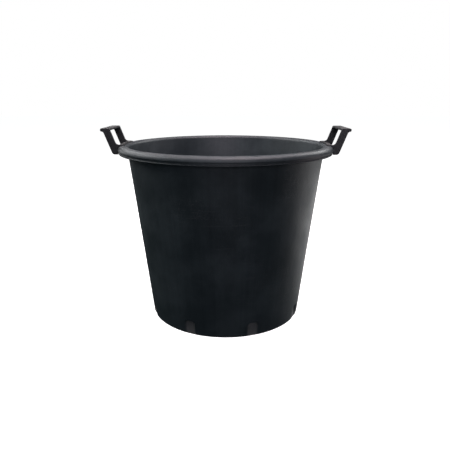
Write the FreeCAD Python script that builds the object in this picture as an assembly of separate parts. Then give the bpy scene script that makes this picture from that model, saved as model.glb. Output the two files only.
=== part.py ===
import FreeCAD, Part
import math
import os

# A round mortar mixing tub: one moulded tub with a hollow rolled rim, and two handles that
# clip over that rim. Millimetres, +Z up. The origin is the centre of the base, on the floor
# line, and the handles stand on the +X and -X sides.

# Tub wall and floor
TUB_HEIGHT = 446.0            # floor line to the top of the rim
BASE_RADIUS = 198.0           # outside of the wall at the floor line
MOUTH_RADIUS = 250.0          # outside of the wall, carried up to the top of the rim
WALL = 4.0                    # thickness of the side wall
FLOOR = 5.0                   # thickness of the floor panel
FLOOR_LIFT = 4.0              # height of the floor panel's underside above the floor line
FOOT_WIDTH = 12.0             # radial width of the foot ring that the tub stands on
FLOOR_CORNER = 12.0           # inside radius between floor and wall
FOOT_CORNER = 2.5             # outside radius at the foot

# Rolled rim, an upside-down channel round the mouth
RIM_OVERHANG = 22.0           # from the mouth radius out to the band
RIM_WALL = 4.5                # thickness of the rim's top web
BAND_HEIGHT = 12.0            # depth of the smooth outer band
BAND_EDGE = 0.5               # radius along the band's lower edge
BAND_STEP = 4.0               # how far the skirt is set in below the band
SKIRT_HEIGHT = 8.0            # depth of the skirt below the band
SKIRT_WALL = 3.5              # thickness of the skirt
BEAD_HEIGHT = 2.5             # height of the bead along the skirt's lower edge
BEAD_REACH = 2.0              # how far the bead stands out of the skirt
MOUTH_CORNER = 8.0            # inside radius at the mouth
GUSSET_COUNT = 24             # stiffening gussets hidden in the rim's channel
GUSSET_THICKNESS = 2.5
GUSSET_RISE = 4.0             # height of the gussets' lower edge above the skirt's
EDGE_ROUND = 1.0              # radius along the edges of the foot ring, skirt and saddle
CHANNEL_ROUND = 1.5           # radius inside the channel, between wall and top web

# Stand-off recesses round the foot, closed towards the inside
RECESS_COUNT = 8
RECESS_WIDTH = 24.0
RECESS_HEIGHT = 35.0
RECESS_DEPTH = 7.0            # at the recess's top
RECESS_FOOT_DEPTH = 1.5       # at the floor line, where the recess runs out
RECESS_TURN = -2.5            # degrees that the recesses are turned against the handles
RECESS_CORNER = 5.0

# Ribs under the floor panel
FLOOR_RIB_COUNT = 8
FLOOR_RIB_THICKNESS = 3.0
FLOOR_RIB_GAP = 1.0           # from the ribs' lower edge to the floor line
HUB_RADIUS = 30.0             # ring that joins the ribs in the middle

# Handles
HANDLE_WIDTH = 114.0          # over the outsides of the two legs
LEG_THICKNESS = 5.0
LEG_WIDTH = 19.0              # radial width of a leg at the grip
LEG_LEAN = 20.5               # degrees that a leg leans outwards
HANDLE_RISE = 42.5            # top of the grip above the top of the rim
GRIP_REACH = 35.0             # outer edge of the grip, measured out from the band
GRIP_DEPTH = 23.0             # radial width of the grip
GRIP_THICKNESS = 5.5
GRIP_ROUND = 3.0              # radius along the grip's upper edges
LIP_THICKNESS = 8.0           # the lip along the grip's outer edge
LIP_WIDTH = 8.0
LIP_ROUND = 2.0               # radius along the lip's lower edge
UNDER_ROUND = 1.2             # radius of the other edges under the grip
LIP_FILLET = 6.0              # hollow radius between the lip and a leg
FOOT_DROP = 1.5               # how far a leg reaches below the rim
FOOT_REACH = 7.0              # how far a leg's foot stands out from the band
FOOT_ROUND = 9.0              # radius at the outer corner of the foot
FLARE = 8.0                   # hollow radius where a leg meets the saddle

# Saddle between the legs, and the snap tongues that hold it
SADDLE_THICKNESS = 2.5
SADDLE_REACH = 17.5           # how far the saddle reaches in over the rim, from the band
HOOK_HEIGHT = 3.0             # the hook that grips under the band
SNAP_COUNT = 2                # tongues on each handle
SNAP_SPACING = 15.0           # degrees between neighbouring tongues
SNAP_WIDTH = 16.0             # along the rim
SNAP_THICKNESS = 3.5
SNAP_INSET = 14.5             # from the band to the inner face of a tongue
BARB_REACH = 2.0
BARB_HEIGHT = 6.0             # from a tongue's lower end to the top web's underside
BARB_TIP = 2.0                # height of the barb's upright outer face
TONGUE_ROUND = 0.8            # radius along a tongue's lower edges
SLOT_CLEARANCE = 0.3          # round a tongue in its slot
SLOT_FLEX = 1.5               # extra room behind a tongue, so that it can spring in
SEAT_CLEARANCE = 0.2          # between the handle and the rim that it sits over

# Values that follow from the ones above
WALL_SLOPE = (MOUTH_RADIUS - BASE_RADIUS) / TUB_HEIGHT
BAND_RADIUS = MOUTH_RADIUS + RIM_OVERHANG
SKIRT_RADIUS = BAND_RADIUS - BAND_STEP
CHANNEL_RADIUS = SKIRT_RADIUS - SKIRT_WALL
BEAD_RADIUS = SKIRT_RADIUS + BEAD_REACH
BAND_CORNER = BAND_HEIGHT - BAND_EDGE      # the band is one round from top web to lower edge
CHANNEL_TOP = TUB_HEIGHT - RIM_WALL
BAND_BOTTOM = TUB_HEIGHT - BAND_HEIGHT
RIM_BOTTOM = BAND_BOTTOM - SKIRT_HEIGHT
HANDLE_TOP = TUB_HEIGHT + HANDLE_RISE
SADDLE_TOP = TUB_HEIGHT + SEAT_CLEARANCE + SADDLE_THICKNESS
FOOT_BOTTOM = RIM_BOTTOM - FOOT_DROP
GRIP_OUTER = BAND_RADIUS + GRIP_REACH
GRIP_INNER = GRIP_OUTER - GRIP_DEPTH
LEG_RUN = math.tan(math.radians(LEG_LEAN))
SPARE = 5.0                   # how far a cutting tool runs past what it cuts
TOLERANCE = 1e-4              # lengths under this count as nothing
HANDLE_SECTOR = 90.0          # degrees of the rim that are drawn when a handle is made


def turned(shape, degrees):
    """A copy of the shape, turned about the tub's axis."""
    copy = shape.copy()
    copy.rotate(FreeCAD.Vector(0, 0, 0), FreeCAD.Vector(0, 0, 1), degrees)
    return copy


def outline(corners):
    """A closed face in the XZ plane through (x, z, corner radius) points."""
    edges = []
    first = None
    last = None
    for i, (x, z, radius) in enumerate(corners):
        corner = FreeCAD.Vector(x, 0, z)
        before = FreeCAD.Vector(corners[i - 1][0], 0, corners[i - 1][1])
        after_x, after_z, _ = corners[(i + 1) % len(corners)]
        after = FreeCAD.Vector(after_x, 0, after_z)
        if radius > 0:
            back = (before - corner).normalize()
            on = (after - corner).normalize()
            half = back.getAngle(on) / 2
            start = corner + back * (radius / math.tan(half))
            end = corner + on * (radius / math.tan(half))
            bisector = (back + on).normalize()
            middle = corner + bisector * (radius / math.sin(half) - radius)
            arc = Part.Arc(start, middle, end).toShape()
        else:
            start = corner
            end = corner
            arc = None
        if last is not None and last.distanceToPoint(start) > TOLERANCE:
            edges.append(Part.makeLine(last, start))
        if arc is not None:
            edges.append(arc)
        if first is None:
            first = start
        last = end
    if last.distanceToPoint(first) > TOLERANCE:
        edges.append(Part.makeLine(last, first))
    return Part.Face(Part.Wire(edges))


def ring(corners, start=0.0, sweep=360.0):
    """The outline turned about the tub's axis, all round or over part of a turn."""
    solid = outline(corners).revolve(FreeCAD.Vector(0, 0, 0), FreeCAD.Vector(0, 0, 1), sweep)
    return turned(solid, start)


def plate(corners, y_low, y_high):
    """The outline as a flat plate between two Y values."""
    face = outline(corners)
    face.translate(FreeCAD.Vector(0, y_low, 0))
    return face.extrude(FreeCAD.Vector(0, y_high - y_low, 0))


def box(x_low, x_high, y_low, y_high, z_low, z_high):
    """A block between two values on each axis."""
    corner = FreeCAD.Vector(x_low, y_low, z_low)
    return Part.makeBox(x_high - x_low, y_high - y_low, z_high - z_low, corner)


def wall_radius(z, inset=0.0):
    """Outside radius of the side wall at a height, less an inset."""
    return BASE_RADIUS + WALL_SLOPE * z - inset


def wall_cone(inset, z_low, z_high):
    """The solid cone inside the wall's outer face, set in by an inset."""
    low = wall_radius(z_low, inset)
    high = wall_radius(z_high, inset)
    return Part.makeCone(low, high, z_high - z_low, FreeCAD.Vector(0, 0, z_low))


# Tub ----------------------------------------------------------------------------------------


def tub_shell():
    """The turned shape: foot ring, floor panel, side wall and rolled rim in one section."""
    foot_inner = BASE_RADIUS - FOOT_WIDTH
    floor_top = FLOOR_LIFT + FLOOR
    bead_top = RIM_BOTTOM + BEAD_HEIGHT
    return ring(
        [
            (0, FLOOR_LIFT, 0),
            (foot_inner, FLOOR_LIFT, EDGE_ROUND),
            (foot_inner, 0, EDGE_ROUND),
            (BASE_RADIUS, 0, FOOT_CORNER),
            (wall_radius(CHANNEL_TOP), CHANNEL_TOP, CHANNEL_ROUND),
            (CHANNEL_RADIUS, CHANNEL_TOP, 0),
            (CHANNEL_RADIUS, RIM_BOTTOM, EDGE_ROUND),
            (BEAD_RADIUS, RIM_BOTTOM, EDGE_ROUND),
            (BEAD_RADIUS, bead_top, EDGE_ROUND),
            (SKIRT_RADIUS, bead_top, 0),
            (SKIRT_RADIUS, BAND_BOTTOM, 0),
            (BAND_RADIUS, BAND_BOTTOM, BAND_EDGE),
            (BAND_RADIUS, TUB_HEIGHT, BAND_CORNER),
            (wall_radius(TUB_HEIGHT, WALL), TUB_HEIGHT, MOUTH_CORNER),
            (wall_radius(floor_top, WALL), floor_top, FLOOR_CORNER),
            (0, floor_top, 0),
        ]
    )


def recess_block(grow):
    """A block with rounded upper corners on the +X side, the recess's size grown all round."""
    half = RECESS_WIDTH / 2 + grow
    top = RECESS_HEIGHT + grow
    block = box(BASE_RADIUS / 2, MOUTH_RADIUS, -half, half, -SPARE, top)
    level = [e for e in block.Edges if e.BoundBox.ZMin > top - SPARE]
    upper = [e for e in level if e.BoundBox.XLength > SPARE]
    return block.makeFillet(RECESS_CORNER + grow, upper)


def recess_angles():
    step = 360.0 / RECESS_COUNT
    return [step * (i + 0.5) + RECESS_TURN for i in range(RECESS_COUNT)]


def recess_cone(inset, z_low, z_high):
    """The solid cone inside the recesses' back face, set in by an inset."""
    taper = (RECESS_DEPTH - RECESS_FOOT_DEPTH) / RECESS_HEIGHT
    low = wall_radius(z_low, inset + RECESS_FOOT_DEPTH + taper * z_low)
    high = wall_radius(z_high, inset + RECESS_FOOT_DEPTH + taper * z_high)
    return Part.makeCone(low, high, z_high - z_low, FreeCAD.Vector(0, 0, z_low))


def recess_cutters():
    """What is taken out of the foot: each block outside the recesses' back face."""
    core = recess_cone(0, -2 * SPARE, RECESS_HEIGHT + 2 * SPARE)
    cutter = recess_block(0).cut(core)
    return [turned(cutter, angle) for angle in recess_angles()]


def recess_backs():
    """The wall that closes each recess towards the inside of the tub."""
    top = RECESS_HEIGHT + 2 * WALL
    skin = wall_cone(WALL / 2, 0, top).cut(recess_cone(WALL, 0, top))
    low = FLOOR_LIFT + FLOOR / 2
    between = box(0, MOUTH_RADIUS, -RECESS_WIDTH, RECESS_WIDTH, low, top)
    back = recess_block(WALL).common(skin).common(between)
    return [turned(back, angle) for angle in recess_angles()]


def floor_ribs():
    """Radial ribs and their hub, under the floor panel."""
    low = FLOOR_RIB_GAP
    high = FLOOR_LIFT + FLOOR / 2
    half = FLOOR_RIB_THICKNESS / 2
    outer = BASE_RADIUS - FOOT_WIDTH / 2
    rib = box(HUB_RADIUS, outer, -half, half, low, high)
    step = 360.0 / FLOOR_RIB_COUNT
    ribs = [turned(rib, step * i) for i in range(FLOOR_RIB_COUNT)]
    inner = HUB_RADIUS
    hub_outer = HUB_RADIUS + FLOOR_RIB_THICKNESS
    hub = ring([(inner, low, 0), (hub_outer, low, 0), (hub_outer, high, 0), (inner, high, 0)])
    return [hub] + ribs


def gussets():
    """Thin webs across the rim's channel, between the wall and the skirt."""
    low = RIM_BOTTOM + GUSSET_RISE
    high = CHANNEL_TOP + RIM_WALL / 2
    half = GUSSET_THICKNESS / 2
    outer = CHANNEL_RADIUS + SKIRT_WALL / 2
    blank = box(MOUTH_RADIUS / 2, outer, -half, half, low, high)
    web = blank.cut(wall_cone(WALL / 2, low - SPARE, high + SPARE))
    step = 360.0 / GUSSET_COUNT
    return [turned(web, step * i) for i in range(GUSSET_COUNT)]


def snap_angles():
    """Middle of each tongue, in degrees from the middle of its handle."""
    middle = (SNAP_COUNT - 1) / 2
    return [SNAP_SPACING * (i - middle) for i in range(SNAP_COUNT)]


def snap_slots():
    """The slots through the rim's top web that the handles' tongues pass."""
    inner = BAND_RADIUS - SNAP_INSET - SLOT_FLEX
    outer = BAND_RADIUS - SNAP_INSET + SNAP_THICKNESS + SLOT_CLEARANCE
    low = CHANNEL_TOP - SPARE
    high = TUB_HEIGHT + SPARE
    wide = math.degrees((SNAP_WIDTH + 2 * SLOT_CLEARANCE) / inner)
    section = [(inner, low, 0), (outer, low, 0), (outer, high, 0), (inner, high, 0)]
    return [
        ring(section, side + angle - wide / 2, wide)
        for side in (0, 180)
        for angle in snap_angles()
    ]


def tub_body():
    body = tub_shell().fuse(recess_backs() + floor_ribs() + gussets())
    body = body.cut(recess_cutters() + snap_slots())
    return body.removeSplitter()


# Handles ------------------------------------------------------------------------------------


def rim_envelope():
    """The rim as a handle sees it: its outside grown by the seat clearance.

    The underside of the band isn't grown, because the handle's hook bears against it.
    """
    gap = SEAT_CLEARANCE
    inner = MOUTH_RADIUS / 2
    low = FOOT_BOTTOM - SPARE
    bead_top = RIM_BOTTOM + BEAD_HEIGHT + gap
    return ring(
        [
            (inner, low, 0),
            (BEAD_RADIUS + gap, low, 0),
            (BEAD_RADIUS + gap, bead_top, 0),
            (SKIRT_RADIUS + gap, bead_top, 0),
            (SKIRT_RADIUS + gap, BAND_BOTTOM, 0),
            (BAND_RADIUS + gap, BAND_BOTTOM, 0),
            (BAND_RADIUS + gap, TUB_HEIGHT + gap, BAND_CORNER + gap),
            (inner, TUB_HEIGHT + gap, 0),
        ],
        -HANDLE_SECTOR / 2,
        HANDLE_SECTOR,
    )


def grip_edge():
    """Corners that the grip and the tops of the legs share, from the lip round to the inside."""
    return [
        (GRIP_OUTER, HANDLE_TOP - LIP_THICKNESS, LIP_ROUND),
        (GRIP_OUTER, HANDLE_TOP, GRIP_ROUND),
        (GRIP_INNER, HANDLE_TOP, GRIP_ROUND),
    ]


def leg(y_low):
    """One leg: a flat plate from the grip down past the outside of the rim."""
    knee = GRIP_INNER - LEG_RUN * (HANDLE_TOP - SADDLE_TOP)
    shin_top = GRIP_INNER + LEG_WIDTH - LEG_RUN * LIP_THICKNESS
    foot_inner = BAND_RADIUS - SADDLE_REACH
    side = [
        (foot_inner, FOOT_BOTTOM, 0),
        (BAND_RADIUS + FOOT_REACH, FOOT_BOTTOM, FOOT_ROUND),
        (shin_top, HANDLE_TOP - LIP_THICKNESS, LIP_FILLET),
        *grip_edge(),
        (knee, SADDLE_TOP, FLARE),
        (foot_inner, SADDLE_TOP, 0),
    ]
    return plate(side, y_low, y_low + LEG_THICKNESS)


def saddle():
    """The curved plate that lies over the rim between the legs, with its hook."""
    outer = BAND_RADIUS + SEAT_CLEARANCE + SADDLE_THICKNESS
    round_outer = BAND_CORNER + SEAT_CLEARANCE + SADDLE_THICKNESS
    inner = BAND_RADIUS - SADDLE_REACH
    hook_bottom = BAND_BOTTOM - HOOK_HEIGHT
    blank = ring(
        [
            (inner, BAND_BOTTOM, 0),
            (SKIRT_RADIUS, BAND_BOTTOM, 0),
            (SKIRT_RADIUS, hook_bottom, 0),
            (outer, hook_bottom, EDGE_ROUND),
            (outer, SADDLE_TOP, round_outer),
            (inner, SADDLE_TOP, EDGE_ROUND),
        ],
        -HANDLE_SECTOR / 2,
        HANDLE_SECTOR,
    )
    half = HANDLE_WIDTH / 2 - LEG_THICKNESS / 2
    between_legs = box(0, GRIP_OUTER, -half, half, 0, HANDLE_TOP)
    return blank.common(between_legs)


def grip():
    """The flat hand grip with its thicker outer lip."""
    half = HANDLE_WIDTH / 2
    under = HANDLE_TOP - GRIP_THICKNESS
    lip_inner = GRIP_OUTER - LIP_WIDTH
    section = [
        (GRIP_INNER - LEG_RUN * GRIP_THICKNESS, under, UNDER_ROUND),
        (lip_inner - (LIP_THICKNESS - GRIP_THICKNESS), under, UNDER_ROUND),
        (lip_inner, HANDLE_TOP - LIP_THICKNESS, UNDER_ROUND),
        *grip_edge(),
    ]
    return plate(section, -half, half)


def tongue(angle):
    """One snap tongue with its barb, which bears up under the rim's top web."""
    inner = BAND_RADIUS - SNAP_INSET
    outer = inner + SNAP_THICKNESS
    tip = outer + BARB_REACH
    bottom = CHANNEL_TOP - BARB_HEIGHT
    top = TUB_HEIGHT + SEAT_CLEARANCE + SADDLE_THICKNESS / 2
    wide = math.degrees(SNAP_WIDTH / inner)
    section = [
        (inner, bottom, TONGUE_ROUND),
        (outer, bottom, TONGUE_ROUND),
        (tip, CHANNEL_TOP - BARB_TIP, 0),
        (tip, CHANNEL_TOP, 0),
        (outer, CHANNEL_TOP, 0),
        (outer, top, 0),
        (inner, top, 0),
    ]
    return ring(section, angle - wide / 2, wide)


def handle():
    """A whole handle on the +X side."""
    half = HANDLE_WIDTH / 2
    legs = [leg(-half), leg(half - LEG_THICKNESS)]
    body = saddle().fuse(legs).cut(rim_envelope())
    body = body.fuse([grip()] + [tongue(angle) for angle in snap_angles()])
    return body.removeSplitter()


os.makedirs("parts", exist_ok=True)
right = handle()
nodes = {
    "tub_body": tub_body(),
    "handle_right": right,
    "handle_left": turned(right, 180),
}
for name, shape in nodes.items():
    solid = shape.Solids[0] if len(shape.Solids) == 1 else shape
    solid.exportStep(f"parts/{name}.step")
    volume = round(shape.Volume / 1000, 1)
    print(name, "solids", len(shape.Solids), "valid", shape.isValid(), "volume cm3", volume)
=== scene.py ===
# %% [markdown]
# # A mortar mixing tub
# A round tub for mixing and carrying mortar is moulded from black polyethylene. Its tapered wall
# ends in a hollow rolled rim, and two handles clip over that rim. The CAD frame holds the exact
# sizes. This lesson makes the pieces that are seen: the tub as one turned section, its ribs and
# gussets as repeated plates, and each handle as one soft-edged moulding.

# %% Load the frame
import math

import bmesh
import bpy
from mathutils import Matrix, Vector


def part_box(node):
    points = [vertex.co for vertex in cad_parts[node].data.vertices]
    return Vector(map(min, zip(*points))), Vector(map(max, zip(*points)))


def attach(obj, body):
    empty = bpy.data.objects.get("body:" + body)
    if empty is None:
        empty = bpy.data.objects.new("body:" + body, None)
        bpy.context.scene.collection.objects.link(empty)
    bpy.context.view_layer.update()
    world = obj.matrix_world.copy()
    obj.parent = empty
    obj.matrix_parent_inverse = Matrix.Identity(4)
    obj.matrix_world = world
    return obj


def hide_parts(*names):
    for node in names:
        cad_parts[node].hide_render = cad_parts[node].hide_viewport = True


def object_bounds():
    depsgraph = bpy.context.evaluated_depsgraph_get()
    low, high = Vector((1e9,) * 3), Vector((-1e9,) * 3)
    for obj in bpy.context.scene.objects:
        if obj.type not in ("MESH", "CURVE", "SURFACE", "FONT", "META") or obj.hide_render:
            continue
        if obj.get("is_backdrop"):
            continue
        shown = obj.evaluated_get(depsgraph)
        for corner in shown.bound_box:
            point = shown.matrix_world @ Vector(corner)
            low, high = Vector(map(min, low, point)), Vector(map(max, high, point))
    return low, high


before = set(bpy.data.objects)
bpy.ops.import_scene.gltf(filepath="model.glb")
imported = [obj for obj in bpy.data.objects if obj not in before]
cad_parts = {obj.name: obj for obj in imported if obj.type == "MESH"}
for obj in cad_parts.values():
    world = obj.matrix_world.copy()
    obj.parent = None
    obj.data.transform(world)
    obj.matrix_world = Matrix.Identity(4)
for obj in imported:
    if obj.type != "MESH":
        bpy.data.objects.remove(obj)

cad_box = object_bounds()
scene = bpy.context.scene

# %% [markdown]
# ## Sizes
# The frame gives the height of the tub, the radius of its band and the top of the handles.
# The other sizes are those of the real mouldings, in metres, and each is written once.

# %% Driving sizes
tub_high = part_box("tub_body")[1]
grip_low, grip_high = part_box("handle_right")
HEIGHT = tub_high.z
BAND_RADIUS = tub_high.x
BASE_RADIUS = 0.198
RIM_OVERHANG = 0.022
MOUTH_RADIUS = BAND_RADIUS - RIM_OVERHANG
WALL = 0.004
FLOOR_UNDERSIDE = 0.004
FLOOR_TOP = 0.009
SLOPE = (MOUTH_RADIUS - BASE_RADIUS) / HEIGHT
print(f"tub {HEIGHT * 1000:.0f} mm high, band {BAND_RADIUS * 2000:.0f} mm across")


def wall_radius(z):
    """Outside radius of the tapered wall at a height."""
    return BASE_RADIUS + SLOPE * z


# %% [markdown]
# ## The camera
# The camera stands about 1.2 m from the tub, a little above it, and looks down by 15.5 degrees.
# It is set by its height, its distance and its pitch, and then turned slightly round the tub.

# %% Camera
CAMERA_DISTANCE = 1.222
CAMERA_HEIGHT = 0.568
CAMERA_PITCH = 0.2708
CAMERA_TURN = math.radians(0.8)
LENS = 37.6
SENSOR_WIDTH = 36.0
SIDE_SHIFT = -0.0015


def make_camera():
    """A plain perspective camera that looks across the tub's axis."""
    lens = bpy.data.cameras.new("camera")
    lens.sensor_width = SENSOR_WIDTH
    lens.lens = LENS
    lens.shift_x = SIDE_SHIFT
    camera = bpy.data.objects.new("camera", lens)
    scene.collection.objects.link(camera)
    across = CAMERA_DISTANCE * math.sin(CAMERA_TURN)
    back = CAMERA_DISTANCE * math.cos(CAMERA_TURN)
    camera.location = (across, -back, CAMERA_HEIGHT)
    camera.rotation_euler = (math.pi / 2 - CAMERA_PITCH, 0.0, CAMERA_TURN)
    scene.camera = camera
    return camera


camera = make_camera()
print("camera at", tuple(round(v, 3) for v in camera.location))

# %% [markdown]
# ## Helpers for node trees
# Shader trees and geometry trees are built the same way: a node is added, its settings are
# made, and each input is either a number or another node's output.

# %% Node helpers
def add(tree, kind, inputs=None, **settings):
    """Adds a node. Inputs map a socket's name or number to a value or to another socket."""
    made = tree.nodes.new(kind)
    for key, value in settings.items():
        setattr(made, key, value)
    for key, value in (inputs or {}).items():
        if isinstance(value, bpy.types.NodeSocket):
            tree.links.new(value, made.inputs[key])
        else:
            made.inputs[key].default_value = value
    return made


def calc(tree, operation, *values):
    """One Math node, and its result."""
    return add(tree, "ShaderNodeMath", dict(enumerate(values)), operation=operation).outputs[0]


def vector_calc(tree, operation, *values):
    """One Vector Math node, and its first result."""
    made = add(tree, "ShaderNodeVectorMath", dict(enumerate(values)), operation=operation)
    return made.outputs["Value"] if operation in ("LENGTH", "DOT_PRODUCT") else made.outputs[0]


def remap(tree, value, low, high, to_low=0.0, to_high=1.0, smooth=True):
    """Maps a range of values to another, with soft ends if smooth."""
    made = add(
        tree,
        "ShaderNodeMapRange",
        {"Value": value, "From Min": low, "From Max": high, "To Min": to_low, "To Max": to_high},
        interpolation_type="SMOOTHSTEP" if smooth else "LINEAR",
    )
    return made.outputs["Result"]


def noise(tree, place, scale, detail=2.0, roughness=0.5):
    """The value of a noise texture at a place."""
    made = add(
        tree,
        "ShaderNodeTexNoise",
        {"Vector": place, "Scale": scale, "Detail": detail, "Roughness": roughness},
    )
    return made.outputs["Fac"]


def group_tree(name, kind, inputs, outputs):
    """A new node tree with named sockets. Returns the tree, its inputs and its output node."""
    tree = bpy.data.node_groups.new(name, kind)
    for label, socket, value in inputs:
        made = tree.interface.new_socket(name=label, in_out="INPUT", socket_type=socket)
        if value is not None:
            made.default_value = value
    for label, socket in outputs:
        tree.interface.new_socket(name=label, in_out="OUTPUT", socket_type=socket)
    given = tree.nodes.new("NodeGroupInput").outputs
    result = tree.nodes.new("NodeGroupOutput")
    return tree, given, result


print("helpers for trees are ready")

# %% [markdown]
# ## Finishes
# Everything here is black moulded plastic, so what tells the surfaces apart is small: the faint
# vertical flow lines that the melt leaves, a fine grain from the tool, rubs on the edges that
# stand out, scratches from stacking, and dry dust on what faces up. Each of these is made by a
# shader group with its own sizes, so that the tub and the handles can use it in different
# amounts. Noise that is stretched, sharpened or masked is enough for all of them.

# %% Shader group: flow lines
def make_flow_lines():
    """Streaks up the wall, made by noise that is stretched along the height."""
    tree, given, result = group_tree(
        "flow_lines",
        "ShaderNodeTree",
        [
            ("Position", "NodeSocketVector", None),
            ("Streaks Round", "NodeSocketFloat", 30.0),
            ("Streaks Up", "NodeSocketFloat", 1.5),
        ],
        [("Value", "NodeSocketFloat")],
    )
    flat = vector_calc(tree, "MULTIPLY", given["Position"], (1.0, 1.0, 0.0))
    round_tub = vector_calc(tree, "NORMALIZE", flat)
    wide = add(
        tree,
        "ShaderNodeVectorMath",
        {0: round_tub, "Scale": given["Streaks Round"]},
        operation="SCALE",
    )
    height = add(tree, "ShaderNodeSeparateXYZ", {0: given["Position"]}).outputs["Z"]
    up = calc(tree, "MULTIPLY", height, given["Streaks Up"])
    rise = add(tree, "ShaderNodeCombineXYZ", {"Z": up}).outputs[0]
    place = vector_calc(tree, "ADD", wide.outputs[0], rise)
    streaks = noise(tree, place, 1.0, detail=4.0, roughness=0.6)
    tree.links.new(streaks, result.inputs["Value"])
    return tree


flow_lines = make_flow_lines()
print("group", flow_lines.name)

# %% Shader group: tool grain
PATCH_SCALE = 9.0
PATCH_RANGE = (0.35, 0.7)


def make_tool_grain():
    """Fine grain and soft waviness as one height, and a patchy value for colour."""
    tree, given, result = group_tree(
        "tool_grain",
        "ShaderNodeTree",
        [
            ("Position", "NodeSocketVector", None),
            ("Grain Scale", "NodeSocketFloat", 900.0),
            ("Grain Depth", "NodeSocketFloat", 0.25),
            ("Peel Scale", "NodeSocketFloat", 110.0),
            ("Peel Depth", "NodeSocketFloat", 0.35),
            ("Wave Scale", "NodeSocketFloat", 14.0),
            ("Wave Depth", "NodeSocketFloat", 1.6),
        ],
        [("Height", "NodeSocketFloat"), ("Patches", "NodeSocketFloat")],
    )
    place = given["Position"]
    height = 0.0
    for label, detail in (("Grain", 2.0), ("Peel", 2.0), ("Wave", 1.0)):
        layer = noise(tree, place, given[label + " Scale"], detail)
        height = calc(tree, "MULTIPLY_ADD", layer, given[label + " Depth"], height)
    tree.links.new(height, result.inputs["Height"])
    patches = noise(tree, place, PATCH_SCALE, detail=5.0, roughness=0.65)
    tree.links.new(remap(tree, patches, *PATCH_RANGE), result.inputs["Patches"])
    return tree


tool_grain = make_tool_grain()
print("group", tool_grain.name)

# %% Shader group: scratches
SCRATCH_TILT = 0.4
SCRATCH_RUNS = ((0.35, (1.0, 1.0, 26.0)), (0.9, (24.0, 20.0, 1.0)))
SCRATCH_HALF_WIDTH = 0.005
SCRATCHED_SCALE = 6.0
SCRATCHED_RANGE = (0.5, 0.68)


def make_scratches():
    """Thin scratches: the narrow level lines of stretched noise, in two directions, in patches."""
    tree, given, result = group_tree(
        "scratches",
        "ShaderNodeTree",
        [
            ("Position", "NodeSocketVector", None),
            ("Scale", "NodeSocketFloat", 5.0),
            ("Amount", "NodeSocketFloat", 0.5),
        ],
        [("Mask", "NodeSocketFloat")],
    )
    lines = []
    for turn, stretch in SCRATCH_RUNS:
        mapping = add(
            tree,
            "ShaderNodeMapping",
            {"Vector": given["Position"], "Rotation": (turn, SCRATCH_TILT, turn), "Scale": stretch},
        )
        level = noise(tree, mapping.outputs[0], given["Scale"], detail=1.0)
        off_middle = calc(tree, "ABSOLUTE", calc(tree, "SUBTRACT", level, 0.5))
        lines.append(remap(tree, off_middle, 0.0, SCRATCH_HALF_WIDTH, 1.0, 0.0))
    total = calc(tree, "MAXIMUM", *lines)
    where = remap(tree, noise(tree, given["Position"], SCRATCHED_SCALE), *SCRATCHED_RANGE)
    shown = calc(tree, "MULTIPLY", calc(tree, "MULTIPLY", total, where), given["Amount"])
    tree.links.new(shown, result.inputs["Mask"])
    return tree


scratches = make_scratches()
print("group", scratches.name)

# %% Shader group: rubbed edges and settled dust
RUB_SPREAD = 0.07
RUB_BREAKUP_SCALE = 120.0
RUB_BREAKUP_RANGE = (0.4, 0.65)
DUST_FACING_RANGE = (0.3, 1.0)
DUST_CLOUD_RANGE = (0.35, 0.75)


def make_wear():
    """Rub marks where the surface is convex, and dust where it faces up."""
    tree, given, result = group_tree(
        "wear",
        "ShaderNodeTree",
        [
            ("Position", "NodeSocketVector", None),
            ("Rub Start", "NodeSocketFloat", 0.53),
            ("Dust Scale", "NodeSocketFloat", 45.0),
        ],
        [("Rub", "NodeSocketFloat"), ("Dust", "NodeSocketFloat")],
    )
    surface = tree.nodes.new("ShaderNodeNewGeometry")
    end = calc(tree, "ADD", given["Rub Start"], RUB_SPREAD)
    convex = remap(tree, surface.outputs["Pointiness"], given["Rub Start"], end)
    breakup = noise(tree, given["Position"], RUB_BREAKUP_SCALE, detail=4.0)
    rub = calc(tree, "MULTIPLY", convex, remap(tree, breakup, *RUB_BREAKUP_RANGE))
    tree.links.new(rub, result.inputs["Rub"])
    upward = add(tree, "ShaderNodeSeparateXYZ", {0: surface.outputs["Normal"]}).outputs["Z"]
    facing = remap(tree, upward, *DUST_FACING_RANGE)
    cloud = noise(tree, given["Position"], given["Dust Scale"], detail=6.0, roughness=0.7)
    dust_and_painted_light = calc(tree, "MULTIPLY", facing, remap(tree, cloud, *DUST_CLOUD_RANGE))
    tree.links.new(dust_and_painted_light, result.inputs["Dust"])
    return tree


wear = make_wear()
print("group", wear.name)

# %% [markdown]
# ## Black plastic
# The tub is polyethylene with a satin, slightly waxy face. The handles are a separate moulding with a
# finer grain and more dust on their flat tops. Their darker base colour is partly their own tone and
# partly painted shade on the legs. The backs of the recesses round the foot are painted lighter, as
# painted light, and are marked by an attribute of the tub's mesh. Both materials are built by one
# function from the groups above.

# %% Plastic materials
RUB_COLOUR = (0.062, 0.066, 0.070, 1.0)
# Pale grey of the dust on upward faces, also used for the painted light on the backs of the recesses.
DUST_AND_LIGHT_COLOUR = (0.15, 0.145, 0.14, 1.0)
FLOW_SHARE = 0.6
PATCH_SHARE = 0.5
SHADE_RANGE = (0.2, 0.9)
SCRATCH_SHOW = 0.6
RUB_SHOW = 0.5
LEAST_RECESS_LIGHT = 0.6
SMOOTHER = 0.04
ROUGHER = 0.06
SCRATCH_ROUGHER = 0.12
DUST_ROUGHER = 0.15
BUMP_STRENGTH = 0.6
BUMP_DISTANCE = 0.0009
PLASTIC_IOR = 1.5


def mix_colour(tree, factor, first, second):
    """Blends two colours."""
    made = add(tree, "ShaderNodeMix", {0: factor, 6: first, 7: second}, data_type="RGBA")
    return made.outputs[2]


def use_group(tree, group, inputs):
    """Places a shader group in a material."""
    return add(tree, "ShaderNodeGroup", inputs, node_tree=group).outputs


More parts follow.
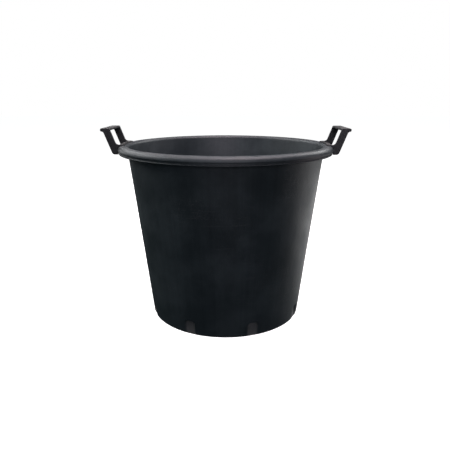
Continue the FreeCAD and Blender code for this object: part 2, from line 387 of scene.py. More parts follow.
def make_plastic(name, dark, light, rough, grain, scratch, rub_start, dust, recess_painted_light=0.0):
    """Black moulded plastic with flow lines, grain, scratches, rubbed edges, dust, and painted light
    on the backs of the recesses.
    """
    material = bpy.data.materials.new(name)
    material.use_nodes = True
    tree = material.node_tree
    shader = tree.nodes["Principled BSDF"]
    place = tree.nodes.new("ShaderNodeTexCoord").outputs["Object"]
    flow = use_group(tree, flow_lines, {"Position": place})["Value"]
    tool = use_group(tree, tool_grain, {"Position": place, "Grain Scale": grain})
    marks = use_group(tree, scratches, {"Position": place, "Amount": scratch})["Mask"]
    worn = use_group(tree, wear, {"Position": place, "Rub Start": rub_start})
    streaks = calc(tree, "MULTIPLY", flow, FLOW_SHARE)
    shade = calc(tree, "MULTIPLY_ADD", tool["Patches"], PATCH_SHARE, streaks)
    colour = mix_colour(tree, remap(tree, shade, *SHADE_RANGE, smooth=False), dark, light)
    colour = mix_colour(tree, calc(tree, "MULTIPLY", marks, SCRATCH_SHOW), colour, RUB_COLOUR)
    colour = mix_colour(tree, calc(tree, "MULTIPLY", worn["Rub"], RUB_SHOW), colour, RUB_COLOUR)
    colour = mix_colour(tree, calc(tree, "MULTIPLY", worn["Dust"], dust), colour, DUST_AND_LIGHT_COLOUR)
    # Painted light: the backs of the recesses are mixed towards the pale grey, in patches, to stand in
    # for the light they catch.
    if recess_painted_light > 0:
        recess = add(tree, "ShaderNodeAttribute", attribute_name="recess").outputs["Fac"]
        patchy_light = remap(tree, tool["Patches"], 0.0, 1.0, LEAST_RECESS_LIGHT, 1.0)
        dust_and_painted_light = calc(tree, "MULTIPLY", calc(tree, "MULTIPLY", recess, patchy_light), recess_painted_light)
        colour = mix_colour(tree, dust_and_painted_light, colour, DUST_AND_LIGHT_COLOUR)
    tree.links.new(colour, shader.inputs["Base Color"])
    lowest = rough - SMOOTHER
    highest = rough + ROUGHER
    roughness = remap(tree, tool["Patches"], 0.0, 1.0, lowest, highest, smooth=False)
    roughness = calc(tree, "MULTIPLY_ADD", marks, SCRATCH_ROUGHER, roughness)
    roughness = calc(tree, "MULTIPLY_ADD", worn["Dust"], DUST_ROUGHER, roughness)
    tree.links.new(roughness, shader.inputs["Roughness"])
    height = calc(tree, "SUBTRACT", tool["Height"], marks)
    bump = add(
        tree,
        "ShaderNodeBump",
        {"Strength": BUMP_STRENGTH, "Distance": BUMP_DISTANCE, "Height": height},
    )
    tree.links.new(bump.outputs[0], shader.inputs["Normal"])
    shader.inputs["IOR"].default_value = PLASTIC_IOR
    return material


tub_plastic = make_plastic(
    "tub_plastic",
    dark=(0.0085, 0.0130, 0.0160, 1.0),
    light=(0.0215, 0.0300, 0.0345, 1.0),
    rough=0.49,
    grain=700.0,
    scratch=0.35,
    rub_start=0.52,
    dust=0.26,
    # Painted light on the backs of the recesses.
    recess_painted_light=0.55,
)
# The handles' darker base colour is partly their own tone and partly painted shade on the legs.
handle_plastic = make_plastic(
    "handle_plastic",
    dark=(0.0045, 0.0048, 0.0056, 1.0),
    light=(0.0130, 0.0134, 0.0150, 1.0),
    rough=0.46,
    grain=1100.0,
    scratch=0.4,
    rub_start=0.53,
    dust=0.45,
)
print("materials", tub_plastic.name, handle_plastic.name)

# %% [markdown]
# ## Drawing a section
# The mouldings are drawn the way a toolmaker draws them: as corners, each with its own radius.
# One helper turns such a list into points, with every arc cut into short steps. Straight runs
# get a point close to each end, so that smooth shading doesn't leak out of the rounds.

# %% Section helpers
ARC_STEP = math.radians(14.0)


def arc_points(before, corner, after, radius):
    """Points of the round at a corner, from one tangent point to the other."""
    back = (before - corner).normalized()
    on = (after - corner).normalized()
    turn = math.pi - back.angle(on)
    reach = radius * math.tan(turn / 2)
    centre = corner + (back + on).normalized() * (radius / math.cos(turn / 2))
    first = corner + back * reach - centre
    last = corner + on * reach - centre
    steps = max(2, math.ceil(turn / ARC_STEP))
    points = []
    for i in range(steps + 1):
        part = i / steps
        points.append(centre + radius * first.slerp(last, part))
    return points


def rounded(corners, closed=True):
    """Points through (x, z, radius) corners, with each corner's radius as an arc."""
    found = []
    for i, (x, z, radius) in enumerate(corners):
        corner = Vector((x, z))
        ends = not closed and i in (0, len(corners) - 1)
        if radius > 0 and not ends:
            before = Vector(corners[i - 1][:2])
            after = Vector(corners[(i + 1) % len(corners)][:2])
            found.append(arc_points(before, corner, after, radius))
        else:
            found.append([corner])
    return found


def with_runs(arcs, step_at, support):
    """Joins arcs by straight runs, adding a point near each end and then one every step."""
    points = []
    for i, arc in enumerate(arcs):
        points += arc
        if i + 1 == len(arcs):
            break
        start = arc[-1]
        end = arcs[i + 1][0]
        length = (end - start).length
        if length < 3 * support:
            continue
        inner_start = start.lerp(end, support / length)
        inner_end = end.lerp(start, support / length)
        middle = (start + end) / 2
        count = max(1, round((length - 2 * support) / step_at(middle)))
        points += [inner_start.lerp(inner_end, k / count) for k in range(count + 1)]
    return points


print("arc step", round(math.degrees(ARC_STEP)), "degrees")

# %% [markdown]
# ## The tub's section
# The whole tub is one turned shape, so one section holds it all: the hub ring under the floor,
# the foot ring, the wall's outside, the hollow under the rolled rim, the skirt with its bead,
# the smooth band, the mouth, the wall's inside and the floor. The section starts and ends on
# the axis. Near the foot the points are close together, because the recesses need them there.

# %% Section of the tub
BAND_HEIGHT = 0.012
BAND_EDGE = 0.0006
BAND_BOTTOM = HEIGHT - BAND_HEIGHT
SKIRT_HEIGHT = 0.008
SKIRT_STEP = 0.004
SKIRT_WALL = 0.0035
RIM_WEB = 0.0045
BEAD_HEIGHT = 0.0025
BEAD_REACH = 0.002
BEAD_ROUND = 0.0008
RIM_BOTTOM = BAND_BOTTOM - SKIRT_HEIGHT
SKIRT_RADIUS = BAND_RADIUS - SKIRT_STEP
SKIRT_INSIDE = SKIRT_RADIUS - SKIRT_WALL
CHANNEL_TOP = HEIGHT - RIM_WEB
CHANNEL_ROUND = 0.0015
BEAD_TOP = RIM_BOTTOM + BEAD_HEIGHT
BEAD_RADIUS = SKIRT_RADIUS + BEAD_REACH
EDGE_ROUND = 0.001
MOUTH_ROUND = 0.008
FLOOR_ROUND = 0.012
FOOT_WIDTH = 0.012
FOOT_ROUND = 0.0025
FOOT_INSIDE = BASE_RADIUS - FOOT_WIDTH
HUB_RADIUS = 0.030
HUB_OUTSIDE = HUB_RADIUS + 0.003
HUB_ROUND = 0.0004
HUB_FILLET = 0.0006
RIB_BOTTOM = 0.001
RECESS_HEIGHT = 0.035
RECESS_TURN = -2.5
RECESS_ZONE = RECESS_HEIGHT + 0.012
FINE_STEP = 0.0018
COARSE_STEP = 0.045
SUPPORT = 0.0012


def tub_corners():
    """Corners of the section as (radius, height, corner radius), from the axis and back to it."""
    inside_zone = RECESS_ZONE + WALL
    outside = [
        (0.0, FLOOR_UNDERSIDE, 0.0),
        (HUB_RADIUS, FLOOR_UNDERSIDE, HUB_FILLET),
        (HUB_RADIUS, RIB_BOTTOM, HUB_ROUND),
        (HUB_OUTSIDE, RIB_BOTTOM, HUB_ROUND),
        (HUB_OUTSIDE, FLOOR_UNDERSIDE, HUB_FILLET),
        (FOOT_INSIDE, FLOOR_UNDERSIDE, EDGE_ROUND),
        (FOOT_INSIDE, 0.0, EDGE_ROUND),
        (BASE_RADIUS, 0.0, FOOT_ROUND),
        (wall_radius(RECESS_ZONE), RECESS_ZONE, 0.0),
        (wall_radius(CHANNEL_TOP), CHANNEL_TOP, CHANNEL_ROUND),
        (SKIRT_INSIDE, CHANNEL_TOP, EDGE_ROUND),
        (SKIRT_INSIDE, RIM_BOTTOM, EDGE_ROUND),
        (BEAD_RADIUS, RIM_BOTTOM, EDGE_ROUND),
        (BEAD_RADIUS, BEAD_TOP, EDGE_ROUND),
        (SKIRT_RADIUS, BEAD_TOP, BEAD_ROUND),
        (SKIRT_RADIUS, BAND_BOTTOM, BEAD_ROUND),
        (BAND_RADIUS, BAND_BOTTOM, BAND_EDGE),
        (BAND_RADIUS, HEIGHT, BAND_HEIGHT - 2 * BAND_EDGE),
    ]
    inside = [
        (wall_radius(HEIGHT) - WALL, HEIGHT, MOUTH_ROUND),
        (wall_radius(inside_zone) - WALL, inside_zone, 0.0),
        (wall_radius(FLOOR_TOP) - WALL, FLOOR_TOP, FLOOR_ROUND),
        (0.0, FLOOR_TOP, 0.0),
    ]
    return outside, inside


def row_step(place):
    """Short steps on the low part of the wall, long steps everywhere else."""
    low = place.y < RECESS_HEIGHT + 0.02
    return FINE_STEP if low and place.x > FOOT_INSIDE - 0.004 else COARSE_STEP


outside, inside = tub_corners()
arcs = rounded(outside + inside, closed=False)
section = with_runs(arcs, row_step, support=SUPPORT)
print("section of", len(section), "points from", len(outside + inside), "corners")

# %% Section as a mesh of edges
def section_mesh(name, points):
    """The section as a mesh line. Each point says how far it lies inside the outer wall."""
    mesh = bpy.data.meshes.new(name)
    places = [(p.x, 0.0, p.y) for p in points]
    mesh.from_pydata(places, [(i, i + 1) for i in range(len(points) - 1)], [])
    inset = mesh.attributes.new("inset", "FLOAT", "POINT")
    crest = max(range(len(points)), key=lambda i: points[i].y)
    inset.data.foreach_set("value", [0.0 if i <= crest else WALL for i in range(len(points))])
    return mesh


tub_line = section_mesh("tub_section", section)
print("section has", len(tub_line.edges), "edges")

# %% [markdown]
# ## Turning the section
# A Spin or a Screw modifier could turn the section, but the foot also has eight recesses. In
# Geometry Nodes both follow one rule. A grid is made with a row for each point of the section
# and a column for each step round the axis. Every vertex takes its radius and height from the
# section, and where it falls in a recess its radius is held back by the recess's depth. The
# inside wall is held back in the same way, so the tub stays closed and its wall stays even.

# %% Geometry tree: turned shell with recesses
MERGE_DISTANCE = 0.00002


def make_turned_shell():
    """A section turned round the Z axis, with closed recesses round its foot."""
    tree, given, result = group_tree(
        "turned_shell",
        "GeometryNodeTree",
        [
            ("Section", "NodeSocketGeometry", None),
            ("Columns", "NodeSocketInt", 480),
            ("Base Radius", "NodeSocketFloat", 0.2),
            ("Slope", "NodeSocketFloat", 0.1),
            ("Recess Count", "NodeSocketInt", 8),
            ("Recess Width", "NodeSocketFloat", 0.024),
            ("Recess Height", "NodeSocketFloat", 0.035),
            ("Recess Depth", "NodeSocketFloat", 0.007),
            ("Recess Foot Depth", "NodeSocketFloat", 0.0015),
            ("Recess Turn", "NodeSocketFloat", 0.0),
            ("Recess Corner", "NodeSocketFloat", 0.006),
            ("Recess Draft", "NodeSocketFloat", 0.003),
            ("Material", "NodeSocketMaterial", None),
        ],
        [("Geometry", "NodeSocketGeometry")],
    )
    section_line = given["Section"]
    size = add(tree, "GeometryNodeAttributeDomainSize", {"Geometry": section_line}, component="MESH")
    rows = size.outputs["Point Count"]
    across = calc(tree, "ADD", given["Columns"], 1.0)
    grid = add(tree, "GeometryNodeMeshGrid", {"Vertices X": across, "Vertices Y": rows})
    index = tree.nodes.new("GeometryNodeInputIndex").outputs[0]
    row = calc(tree, "FLOORED_MODULO", index, rows)
    column = calc(tree, "FLOOR", calc(tree, "DIVIDE", calc(tree, "ADD", index, 0.5), rows))
    position = tree.nodes.new("GeometryNodeInputPosition").outputs[0]
    place = add(
        tree,
        "GeometryNodeSampleIndex",
        {"Geometry": section_line, "Value": position, "Index": row},
        data_type="FLOAT_VECTOR",
    )
    named = add(tree, "GeometryNodeInputNamedAttribute", {"Name": "inset"}, data_type="FLOAT")
    inset = add(
        tree,
        "GeometryNodeSampleIndex",
        {"Geometry": section_line, "Value": named.outputs["Attribute"], "Index": row},
        data_type="FLOAT",
    ).outputs[0]
    split = add(tree, "ShaderNodeSeparateXYZ", {0: place.outputs[0]})
    radius = split.outputs["X"]
    height = split.outputs["Z"]
    turn = calc(tree, "DIVIDE", column, given["Columns"])
    angle = calc(tree, "MULTIPLY", turn, math.tau)

    wall = calc(tree, "MULTIPLY_ADD", height, given["Slope"], given["Base Radius"])
    from_recess = calc(tree, "SUBTRACT", turn, given["Recess Turn"])
    sector = calc(tree, "FRACT", calc(tree, "MULTIPLY", from_recess, given["Recess Count"]))
    off_middle = calc(tree, "ABSOLUTE", calc(tree, "SUBTRACT", sector, 0.5))
    sector_length = calc(tree, "DIVIDE", calc(tree, "MULTIPLY", wall, math.tau), given["Recess Count"])
    aside = calc(tree, "MULTIPLY", off_middle, sector_length)
    half = calc(tree, "ADD", calc(tree, "DIVIDE", given["Recess Width"], 2.0), inset)
    top = calc(tree, "ADD", given["Recess Height"], inset)
    corner = given["Recess Corner"]
    past_corner = []
    for off, end in ((aside, half), (height, top)):
        past = calc(tree, "SUBTRACT", off, calc(tree, "SUBTRACT", end, corner))
        past_corner.append(calc(tree, "MAXIMUM", past, 0.0))
    from_corner = add(tree, "ShaderNodeCombineXYZ", dict(enumerate(past_corner))).outputs[0]
    edge = calc(tree, "SUBTRACT", vector_calc(tree, "LENGTH", from_corner), corner)
    draft = calc(tree, "DIVIDE", given["Recess Draft"], 2.0)
    held = remap(tree, edge, calc(tree, "MULTIPLY", draft, -1.0), draft, 1.0, 0.0)
    up = calc(tree, "DIVIDE", height, given["Recess Height"])
    more = calc(tree, "SUBTRACT", given["Recess Depth"], given["Recess Foot Depth"])
    full = calc(tree, "MULTIPLY_ADD", up, more, given["Recess Foot Depth"])
    depth = calc(tree, "MULTIPLY", held, full)
    limit = calc(tree, "SUBTRACT", calc(tree, "SUBTRACT", wall, inset), depth)
    in_recess = calc(tree, "GREATER_THAN", held, 0.0)
    limited = calc(tree, "MINIMUM", radius, limit)
    final = add(tree, "ShaderNodeMix", {0: in_recess, 2: radius, 3: limited}).outputs[0]

    x = calc(tree, "MULTIPLY", final, calc(tree, "COSINE", angle))
    y = calc(tree, "MULTIPLY", final, calc(tree, "SINE", angle))
    target = add(tree, "ShaderNodeCombineXYZ", {"X": x, "Y": y, "Z": height}).outputs[0]
    outer = calc(tree, "SUBTRACT", 1.0, calc(tree, "GREATER_THAN", inset, 0.0))
    on_wall = calc(tree, "MULTIPLY", outer, calc(tree, "GREATER_THAN", radius, limit))
    in_back = calc(tree, "MULTIPLY", held, on_wall)
    marked = add(
        tree,
        "GeometryNodeStoreNamedAttribute",
        {"Geometry": grid.outputs["Mesh"], "Name": "recess", "Value": in_back},
        data_type="FLOAT",
        domain="POINT",
    )
    moved = add(tree, "GeometryNodeSetPosition", {"Geometry": marked.outputs[0], "Position": target})
    closed = add(
        tree,
        "GeometryNodeMergeByDistance",
        {"Geometry": moved.outputs[0], "Distance": MERGE_DISTANCE},
    )
    smooth = add(tree, "GeometryNodeSetShadeSmooth", {"Geometry": closed.outputs[0]})
    real = add(tree, "GeometryNodeRealizeInstances", {"Geometry": smooth.outputs[0]})
    painted = add(
        tree,
        "GeometryNodeSetMaterial",
        {"Geometry": real.outputs[0], "Material": given["Material"]},
    )
    tree.links.new(painted.outputs[0], result.inputs["Geometry"])
    return tree


turned_shell = make_turned_shell()
print("tree", turned_shell.name, "with", len(turned_shell.nodes), "nodes")

# %% Run a geometry tree and keep its mesh
def grow(name, start_mesh, tree, values, material):
    """Runs a geometry tree on a mesh and returns a plain object with the result."""
    seed = bpy.data.objects.new(name + "_seed", start_mesh)
    scene.collection.objects.link(seed)
    modifier = seed.modifiers.new("shape", "NODES")
    modifier.node_group = tree
    sockets = {s.name: s.identifier for s in tree.interface.items_tree if s.in_out == "INPUT"}
    for label, value in values.items():
        modifier[sockets[label]] = value
    modifier[sockets["Material"]] = material
    graph = bpy.context.evaluated_depsgraph_get()
    mesh = bpy.data.meshes.new_from_object(seed.evaluated_get(graph))
    bpy.data.objects.remove(seed)
    mesh.name = name
    grown = bpy.data.objects.new(name, mesh)
    scene.collection.objects.link(grown)
    face_outwards(mesh)
    return grown


def face_outwards(mesh):
    """Makes every face of a closed mesh point outwards."""
    work = bmesh.new()
    work.from_mesh(mesh)
    bmesh.ops.recalc_face_normals(work, faces=work.faces)
    open_edges = sum(not e.is_manifold for e in work.edges)
    work.to_mesh(mesh)
    work.free()
    print(mesh.name, len(mesh.polygons), "faces,", open_edges, "open edges")


tub = grow(
    "tub_shell",
    tub_line,
    turned_shell,
    {
        "Columns": 480,
        "Base Radius": BASE_RADIUS,
        "Slope": SLOPE,
        "Recess Count": 8,
        "Recess Width": 0.024,
        "Recess Height": RECESS_HEIGHT,
        "Recess Depth": 0.007,
        "Recess Foot Depth": 0.0015,
        "Recess Turn": RECESS_TURN / 360.0,
        "Recess Corner": 0.006,
        "Recess Draft": 0.0035,
    },
    tub_plastic,
)

# %% [markdown]
# ## Gussets and floor ribs
# Thin plates stiffen the hollow rim and the floor. On the real tub they are part of the same
# moulding. They repeat evenly round the axis, so each kind is one small plate that a geometry
# tree copies, turns and makes real.

# %% Geometry tree: plates round an axis
def make_round_copies():
    """Copies of one plate, evenly turned round the Z axis."""
    tree, given, result = group_tree(
        "round_copies",
        "GeometryNodeTree",
        [
            ("Plate", "NodeSocketGeometry", None),
            ("Count", "NodeSocketInt", 8),
            ("Material", "NodeSocketMaterial", None),
        ],
        [("Geometry", "NodeSocketGeometry")],
    )
    points = add(tree, "GeometryNodePoints", {"Count": given["Count"]})
    index = tree.nodes.new("GeometryNodeInputIndex").outputs[0]
    turn = calc(tree, "DIVIDE", calc(tree, "MULTIPLY", index, math.tau), given["Count"])
    rotation = add(tree, "ShaderNodeCombineXYZ", {"Z": turn}).outputs[0]
    copies = add(
        tree,
        "GeometryNodeInstanceOnPoints",
        {"Points": points.outputs[0], "Instance": given["Plate"], "Rotation": rotation},
    )
    real = add(tree, "GeometryNodeRealizeInstances", {"Geometry": copies.outputs[0]})
    painted = add(
        tree,
        "GeometryNodeSetMaterial",
        {"Geometry": real.outputs[0], "Material": given["Material"]},
    )
    tree.links.new(painted.outputs[0], result.inputs["Geometry"])
    return tree


round_copies = make_round_copies()
print("tree", round_copies.name, "with", len(round_copies.nodes), "nodes")

# %% Plates
def flatten(arcs):
    """All the points of a rounded outline, in order."""
    return [point for arc in arcs for point in arc]


def plate_mesh(name, corners, y_low, y_high, soften=0.0):
    """A flat plate with the given outline in the XZ plane, its long edges bevelled."""
    points = flatten(rounded(corners))
    work = bmesh.new()
    front = [work.verts.new((p.x, y_low, p.y)) for p in points]
    back = [work.verts.new((p.x, y_high, p.y)) for p in points]
    caps = [work.faces.new(front), work.faces.new(list(reversed(back)))]
    for i, vertex in enumerate(front):
        j = (i + 1) % len(front)
        work.faces.new((front[j], vertex, back[i], back[j]))
    bmesh.ops.recalc_face_normals(work, faces=work.faces)
    if soften > 0:
        rim = {e for cap in caps for e in cap.edges}
        bmesh.ops.bevel(work, geom=list(rim), offset=soften, segments=2, profile=0.6, affect="EDGES")
    mesh = bpy.data.meshes.new(name)
    work.to_mesh(mesh)
    work.free()
    return mesh


GUSSET_HALF = 0.00125
gusset_low = RIM_BOTTOM + 0.004
gusset = plate_mesh(
    "gusset_plate",
    [
        (wall_radius(gusset_low) - WALL / 2, gusset_low, 0.0),
        (SKIRT_INSIDE + 0.0015, gusset_low, 0.0),
        (SKIRT_INSIDE + 0.0015, CHANNEL_TOP + 0.0015, 0.0),
        (wall_radius(CHANNEL_TOP) - WALL / 2, CHANNEL_TOP + 0.0015, 0.0),
    ],
    -GUSSET_HALF,
    GUSSET_HALF,
    soften=0.0003,
)
gussets = grow("rim_gussets", gusset, round_copies, {"Count": 24}, tub_plastic)

RIB_HALF = 0.0015
RIB_INSIDE = HUB_RADIUS + 0.001
rib = plate_mesh(
    "rib_plate",
    [
        (RIB_INSIDE, RIB_BOTTOM, 0.0),
        (FOOT_INSIDE + 0.003, RIB_BOTTOM, 0.0),
        (FOOT_INSIDE + 0.003, FLOOR_UNDERSIDE + 0.002, 0.0),
        (RIB_INSIDE, FLOOR_UNDERSIDE + 0.002, 0.0),
    ],
    -RIB_HALF,
    RIB_HALF,
    soften=0.0004,
)
ribs = grow("floor_ribs", rib, round_copies, {"Count": 8}, tub_plastic)

# %% [markdown]
# ## The handles
# A handle is one moulding with soft edges: a grip with a thicker lip, two flat legs that lean
# out, a saddle that follows the rim, and hooks and tongues that hold it. Joining such shapes by
# booleans leaves hard inner corners that a real moulding doesn't have. So the simple solids are
# laid over each other, turned into one skin by a fine voxel remesh, and relaxed a little. That
# gives every edge a small radius and every inner corner a fillet, as the melt does.

# %% Sizes of a handle
GRIP_OUTSIDE = grip_high.x
GRIP_TOP = grip_high.z
GRIP_DEPTH = 0.023
GRIP_INSIDE = GRIP_OUTSIDE - GRIP_DEPTH
GRIP_THICKNESS = 0.0055
LIP_THICKNESS = 0.008
LEG_WIDTH = 0.019
LEG_THICKNESS = 0.005
LEG_RUN = math.tan(math.radians(20.5))
HANDLE_HALF = 0.057
SEAT = 0.0004
SADDLE_THICKNESS = 0.0025
SADDLE_TOP = HEIGHT + SEAT + SADDLE_THICKNESS
SADDLE_INSIDE = BAND_RADIUS - 0.0175
FOOT_BOTTOM = grip_low.z
FOOT_OUTSIDE = BAND_RADIUS + 0.007
HOOK_HEIGHT = 0.003
SNAP_INSIDE = BAND_RADIUS - 0.0145
SNAP_THICKNESS = 0.0035
SNAP_LENGTH = 0.006
SNAP_ROUND = 0.0008
SNAP_WIDTH = 0.016
BARB = 0.002
print(f"grip {HANDLE_HALF * 2000:.0f} mm wide, top at {GRIP_TOP * 1000:.1f} mm")


# %% Solids of a handle
def grip_edge():
    """Corners that the grip and the legs share, round the lip and over the top."""
    return [
        (GRIP_OUTSIDE, GRIP_TOP - LIP_THICKNESS, 0.003),
        (GRIP_OUTSIDE, GRIP_TOP, 0.0035),
        (GRIP_INSIDE, GRIP_TOP, 0.003),
    ]


def leg_corners():
    """Side view of a leg, from the foot up the outside and down the inside."""
    knee = GRIP_INSIDE - LEG_RUN * (GRIP_TOP - SADDLE_TOP)
    shin = GRIP_INSIDE + LEG_WIDTH - LEG_RUN * LIP_THICKNESS
    return [
        (SADDLE_INSIDE, FOOT_BOTTOM, 0.0),
        (FOOT_OUTSIDE, FOOT_BOTTOM, 0.008),
        (shin, GRIP_TOP - LIP_THICKNESS, 0.006),
        *grip_edge(),
        (knee, SADDLE_TOP, 0.009),
        (SADDLE_INSIDE, SADDLE_TOP, 0.001),
    ]


def grip_corners():
    """Section of the grip between the legs."""
    under = GRIP_TOP - GRIP_THICKNESS
    lip_inner = GRIP_OUTSIDE - 0.008
    return [
        (GRIP_INSIDE - LEG_RUN * GRIP_THICKNESS, under, 0.0012),
        (lip_inner - 0.003, under, 0.001),
        (lip_inner, GRIP_TOP - LIP_THICKNESS, 0.0012),
        *grip_edge(),
    ]


def saddle_corners():
    """Section of the saddle over the rim, with a groove along its shoulder and its hook."""
    outer = BAND_RADIUS + SEAT + SADDLE_THICKNESS
    inner = BAND_RADIUS + SEAT
    seat = HEIGHT + SEAT
    hook = BAND_BOTTOM - HOOK_HEIGHT
    return [
        (SADDLE_INSIDE, seat, 0.0),
        (inner, seat, BAND_HEIGHT),
        (inner, BAND_BOTTOM, 0.0),
        (SKIRT_RADIUS + SEAT, BAND_BOTTOM, 0.0),
        (SKIRT_RADIUS + SEAT, hook, 0.0),
        (outer, hook, 0.001),
        (outer, SADDLE_TOP, BAND_HEIGHT + SADDLE_THICKNESS),
        (SADDLE_INSIDE, SADDLE_TOP, 0.001),
    ]


def tongue_corners():
    """Section of a snap tongue, with the barb that bears under the rim's web."""
    inner = SNAP_INSIDE
    outer = inner + SNAP_THICKNESS
    return [
        (inner, CHANNEL_TOP - SNAP_LENGTH, SNAP_ROUND),
        (outer, CHANNEL_TOP - SNAP_LENGTH, SNAP_ROUND),
        (outer + BARB, CHANNEL_TOP - BARB, 0.0),
        (outer + BARB, CHANNEL_TOP, 0.0),
        (outer, CHANNEL_TOP, 0.0),
        (outer, HEIGHT + SADDLE_THICKNESS / 2, 0.0),
        (inner, HEIGHT + SADDLE_THICKNESS / 2, 0.0),
    ]


print("side view of a leg has", len(leg_corners()), "corners")


# %% Sector solids
def sector_mesh(name, corners, start, sweep, steps):
    """A section turned over part of a turn, closed at both ends."""
    points = flatten(rounded(corners))
    work = bmesh.new()
    rings = []
    for k in range(steps + 1):
        angle = start + sweep * k / steps
        c, s = math.cos(angle), math.sin(angle)
        rings.append([work.verts.new((p.x * c, p.x * s, p.y)) for p in points])
    for one, other in zip(rings, rings[1:]):
        for i, vertex in enumerate(one):
            j = (i + 1) % len(one)
            work.faces.new((vertex, one[j], other[j], other[i]))
    work.faces.new(list(reversed(rings[0])))
    work.faces.new(rings[-1])
    bmesh.ops.recalc_face_normals(work, faces=work.faces)
    mesh = bpy.data.meshes.new(name)
    work.to_mesh(mesh)
    work.free()
    return mesh


CUTTER_DEPTH = 0.05
CUTTER_SPARE = 0.004
CUTTER_SWEEP = 1.0


def carve_rim(mesh):
    """Cuts the rim's outside out of a leg, so that the leg sits against it."""
    low = FOOT_BOTTOM - CUTTER_SPARE
    inner = BAND_RADIUS - CUTTER_DEPTH
    ring = [
        (inner, low, 0.0),
        (BEAD_RADIUS + SEAT, low, 0.0),
        (BEAD_RADIUS + SEAT, BEAD_TOP + SEAT, 0.0),
        (SKIRT_RADIUS + SEAT, BEAD_TOP + SEAT, 0.0),
        (SKIRT_RADIUS + SEAT, BAND_BOTTOM, 0.0),
        (BAND_RADIUS + SEAT, BAND_BOTTOM, 0.0),
        (BAND_RADIUS + SEAT, HEIGHT + SEAT, BAND_HEIGHT),
        (inner, HEIGHT + SEAT, 0.0),
    ]
    cutter_mesh = sector_mesh("rim_cutter", ring, -CUTTER_SWEEP / 2, CUTTER_SWEEP, 80)
    cutter = bpy.data.objects.new("rim_cutter", cutter_mesh)
    target = bpy.data.objects.new("leg", mesh)
    for made in (cutter, target):
        scene.collection.objects.link(made)
    cut = target.modifiers.new("cut", "BOOLEAN")
    cut.operation = "DIFFERENCE"
    cut.object = cutter
    cut.solver = "EXACT"
    graph = bpy.context.evaluated_depsgraph_get()
    carved = bpy.data.meshes.new_from_object(target.evaluated_get(graph))
    for made in (cutter, target):
        bpy.data.objects.remove(made)
    return carved


# %% One skin
VOXEL = 0.0008
RELAX_ROUNDS = 4
SNAP_OFF_MIDDLE = math.radians(7.5)


def handle_solids():
    """The overlapping solids of one handle on the +X side."""
    legs = []
    for low in (-HANDLE_HALF, HANDLE_HALF - LEG_THICKNESS):
        legs.append(carve_rim(plate_mesh("leg", leg_corners(), low, low + LEG_THICKNESS)))
    grip = plate_mesh("grip", grip_corners(), -HANDLE_HALF, HANDLE_HALF)
    reach = math.asin((HANDLE_HALF - LEG_THICKNESS / 2) / BAND_RADIUS)
    saddle = sector_mesh("saddle", saddle_corners(), -reach, 2 * reach, 60)
    wide = SNAP_WIDTH / SNAP_INSIDE
    tongues = []
    for middle in (-SNAP_OFF_MIDDLE, SNAP_OFF_MIDDLE):
        tongues.append(sector_mesh("tongue", tongue_corners(), middle - wide / 2, wide, 8))
    return legs + [grip, saddle] + tongues


def one_skin(name, solids, voxel, rounds):
    """Turns overlapping closed solids into one skin with softened edges."""
    work = bmesh.new()
    for solid in solids:
        work.from_mesh(solid)
    joined = bpy.data.meshes.new(name)
    work.to_mesh(joined)
    work.free()
    holder = bpy.data.objects.new(name, joined)
    scene.collection.objects.link(holder)
    remesh = holder.modifiers.new("skin", "REMESH")
    remesh.mode = "VOXEL"
    remesh.voxel_size = voxel
    remesh.adaptivity = 0.0
    relax = holder.modifiers.new("relax", "SMOOTH")
    relax.factor = 0.5
    relax.iterations = rounds
    graph = bpy.context.evaluated_depsgraph_get()
    mesh = bpy.data.meshes.new_from_object(holder.evaluated_get(graph))
    bpy.data.objects.remove(holder)
    mesh.shade_smooth()
    mesh.name = name
    return mesh


right_mesh = one_skin("handle_right_skin", handle_solids(), VOXEL, RELAX_ROUNDS)
left_mesh = right_mesh.copy()
left_mesh.name = "handle_left_skin"
left_mesh.transform(Matrix.Rotation(math.pi, 4, "Z"))
handles = {}
for side, mesh in (("right", right_mesh), ("left", left_mesh)):
    mesh.materials.clear()
    mesh.materials.append(handle_plastic)
    handles[side] = bpy.data.objects.new(f"handle_{side}_skin", mesh)
    scene.collection.objects.link(handles[side])
print("handle skin", len(right_mesh.polygons), "faces")

# %% [markdown]
# ## Telling the frame what is what
# Each piece rides on the one rigid body, and the CAD node that it stands for is hidden.

# %% Ride and replace
for piece in (tub, gussets, ribs):
    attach(piece, "root")
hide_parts("tub_body")
for side, piece in handles.items():
    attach(piece, "root")
    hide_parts(f"handle_{side}")

# %% [markdown]
# ## Floor and light
# The tub stands on a plain white floor. Black plastic shows mostly what it reflects, so the
# light is set by its soft boxes. One overhead and one high on the left light the rim, two high
# behind the tub light the ends of the rim and the grips, and one in front lights the inside.
# Three lower ones, on the far left, on the right and low behind on the right, give the side
# edges their sheen. The floor is kept out of the reflections.

# %% Floor
ROOM_LIGHT = 0.03
FLOOR_WHITE = 0.8
FLOOR_HALF = 12.0


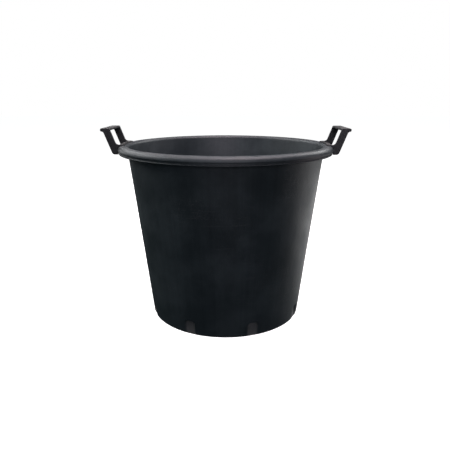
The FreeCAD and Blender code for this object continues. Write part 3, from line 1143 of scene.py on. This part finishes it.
def make_floor():
    """A large white floor. Its glow brings it up to the white of the world."""
    mesh = bpy.data.meshes.new("floor")
    signs = ((-1, -1), (1, -1), (1, 1), (-1, 1))
    mesh.from_pydata([(x * FLOOR_HALF, y * FLOOR_HALF, 0) for x, y in signs], [], [(0, 1, 2, 3)])
    floor = bpy.data.objects.new("floor", mesh)
    scene.collection.objects.link(floor)
    material = bpy.data.materials.new("floor_white")
    material.use_nodes = True
    tree = material.node_tree
    tree.nodes.clear()
    white = (FLOOR_WHITE, FLOOR_WHITE, FLOOR_WHITE, 1.0)
    diffuse = add(tree, "ShaderNodeBsdfDiffuse", {"Color": white})
    glow = add(tree, "ShaderNodeEmission", {"Strength": 1.0 - FLOOR_WHITE * ROOM_LIGHT})
    both = add(tree, "ShaderNodeAddShader", {0: diffuse.outputs[0], 1: glow.outputs[0]})
    add(tree, "ShaderNodeOutputMaterial", {"Surface": both.outputs[0]})
    mesh.materials.append(material)
    floor.visible_glossy = False
    floor.visible_diffuse = False
    floor.visible_shadow = False
    floor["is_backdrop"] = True
    return floor


floor = make_floor()
print("floor", round(2 * FLOOR_HALF), "m across")

# %% Soft boxes
def soft_box(name, place, target, width, height, radiance, tint):
    """An area light that faces a point, with its brightness given as radiance."""
    data = bpy.data.lights.new(name, "AREA")
    data.color = tint
    data.shape = "RECTANGLE"
    data.size = width
    data.size_y = height
    data.energy = radiance * math.pi * width * height
    light = bpy.data.objects.new(name, data)
    light.location = place
    light.rotation_euler = (Vector(target) - Vector(place)).to_track_quat("-Z", "Y").to_euler()
    light.visible_camera = False
    scene.collection.objects.link(light)
    return light


PLAIN = (1.0, 1.0, 1.0)
WARM = (1.08, 0.94, 1.0)
COOL = (0.98, 0.94, 1.06)
TUB = (0.0, 0.0, 0.35)
INSIDE = (0.0, 0.0, 0.45)
SIDE = (0.0, 0.0, 0.3)
OVER_RIM = (0.0, 0.0, 1.0)
FOOT = (0.2, 0.0, 0.2)
SOFT_BOXES = [
    # name, place, target, width, height, radiance, tint
    ("overhead", (0.2, -0.3, 2.2), TUB, 1.6, 1.6, 7.8, WARM),
    ("left_high", (-2.2, 0.0, 1.9), TUB, 1.6, 1.4, 6.0, PLAIN),
    ("right_back_high", (1.6, 1.6, 1.8), TUB, 1.4, 1.2, 5.8, PLAIN),
    ("front", (0.2, -3.2, 1.15), INSIDE, 2.0, 0.9, 4.7, COOL),
    ("far_left", (-2.4, 1.8, 1.0), OVER_RIM, 1.6, 1.4, 1.3, PLAIN),
    ("left_back_high", (-1.5, 1.7, 1.8), TUB, 1.4, 1.2, 4.5, PLAIN),
    ("right", (3.0, 0.2, 0.6), SIDE, 1.6, 1.4, 1.2, WARM),
    ("low_right", (2.1, 1.7, -0.6), FOOT, 2.4, 1.0, 1.65, PLAIN),
]
for row in SOFT_BOXES:
    soft_box(*row)

# %% World
ROOM_TINT = (0.6, 0.95, 1.0, 1.0)


def make_world():
    """White to the camera, and a dim, even room to everything else."""
    world = bpy.data.worlds.new("studio")
    world.use_nodes = True
    tree = world.node_tree
    tree.nodes.clear()
    seen = add(tree, "ShaderNodeBackground", {"Color": (1.0, 1.0, 1.0, 1.0), "Strength": 1.0})
    room = add(tree, "ShaderNodeBackground", {"Color": ROOM_TINT, "Strength": ROOM_LIGHT})
    path = tree.nodes.new("ShaderNodeLightPath")
    choice = add(
        tree,
        "ShaderNodeMixShader",
        {0: path.outputs["Is Camera Ray"], 1: room.outputs[0], 2: seen.outputs[0]},
    )
    add(tree, "ShaderNodeOutputWorld", {"Surface": choice.outputs[0]})
    scene.world = world


make_world()
scene.view_settings.view_transform = "Standard"
print("world", scene.world.name)

# %% [markdown]
# ## Last lines
# The sizes of the CAD model's box and of the visual model's box are both printed. The visual
# model has to stay inside the CAD model's box.

# %% Print both boxes and finish
visual_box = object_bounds()
boxes = {
    "cad": [list(corner) for corner in cad_box],
    "visual": [list(corner) for corner in visual_box],
}
for label, (low, high) in boxes.items():
    print(label, [round((b - a) * 1000, 1) for a, b in zip(low, high)], "mm")
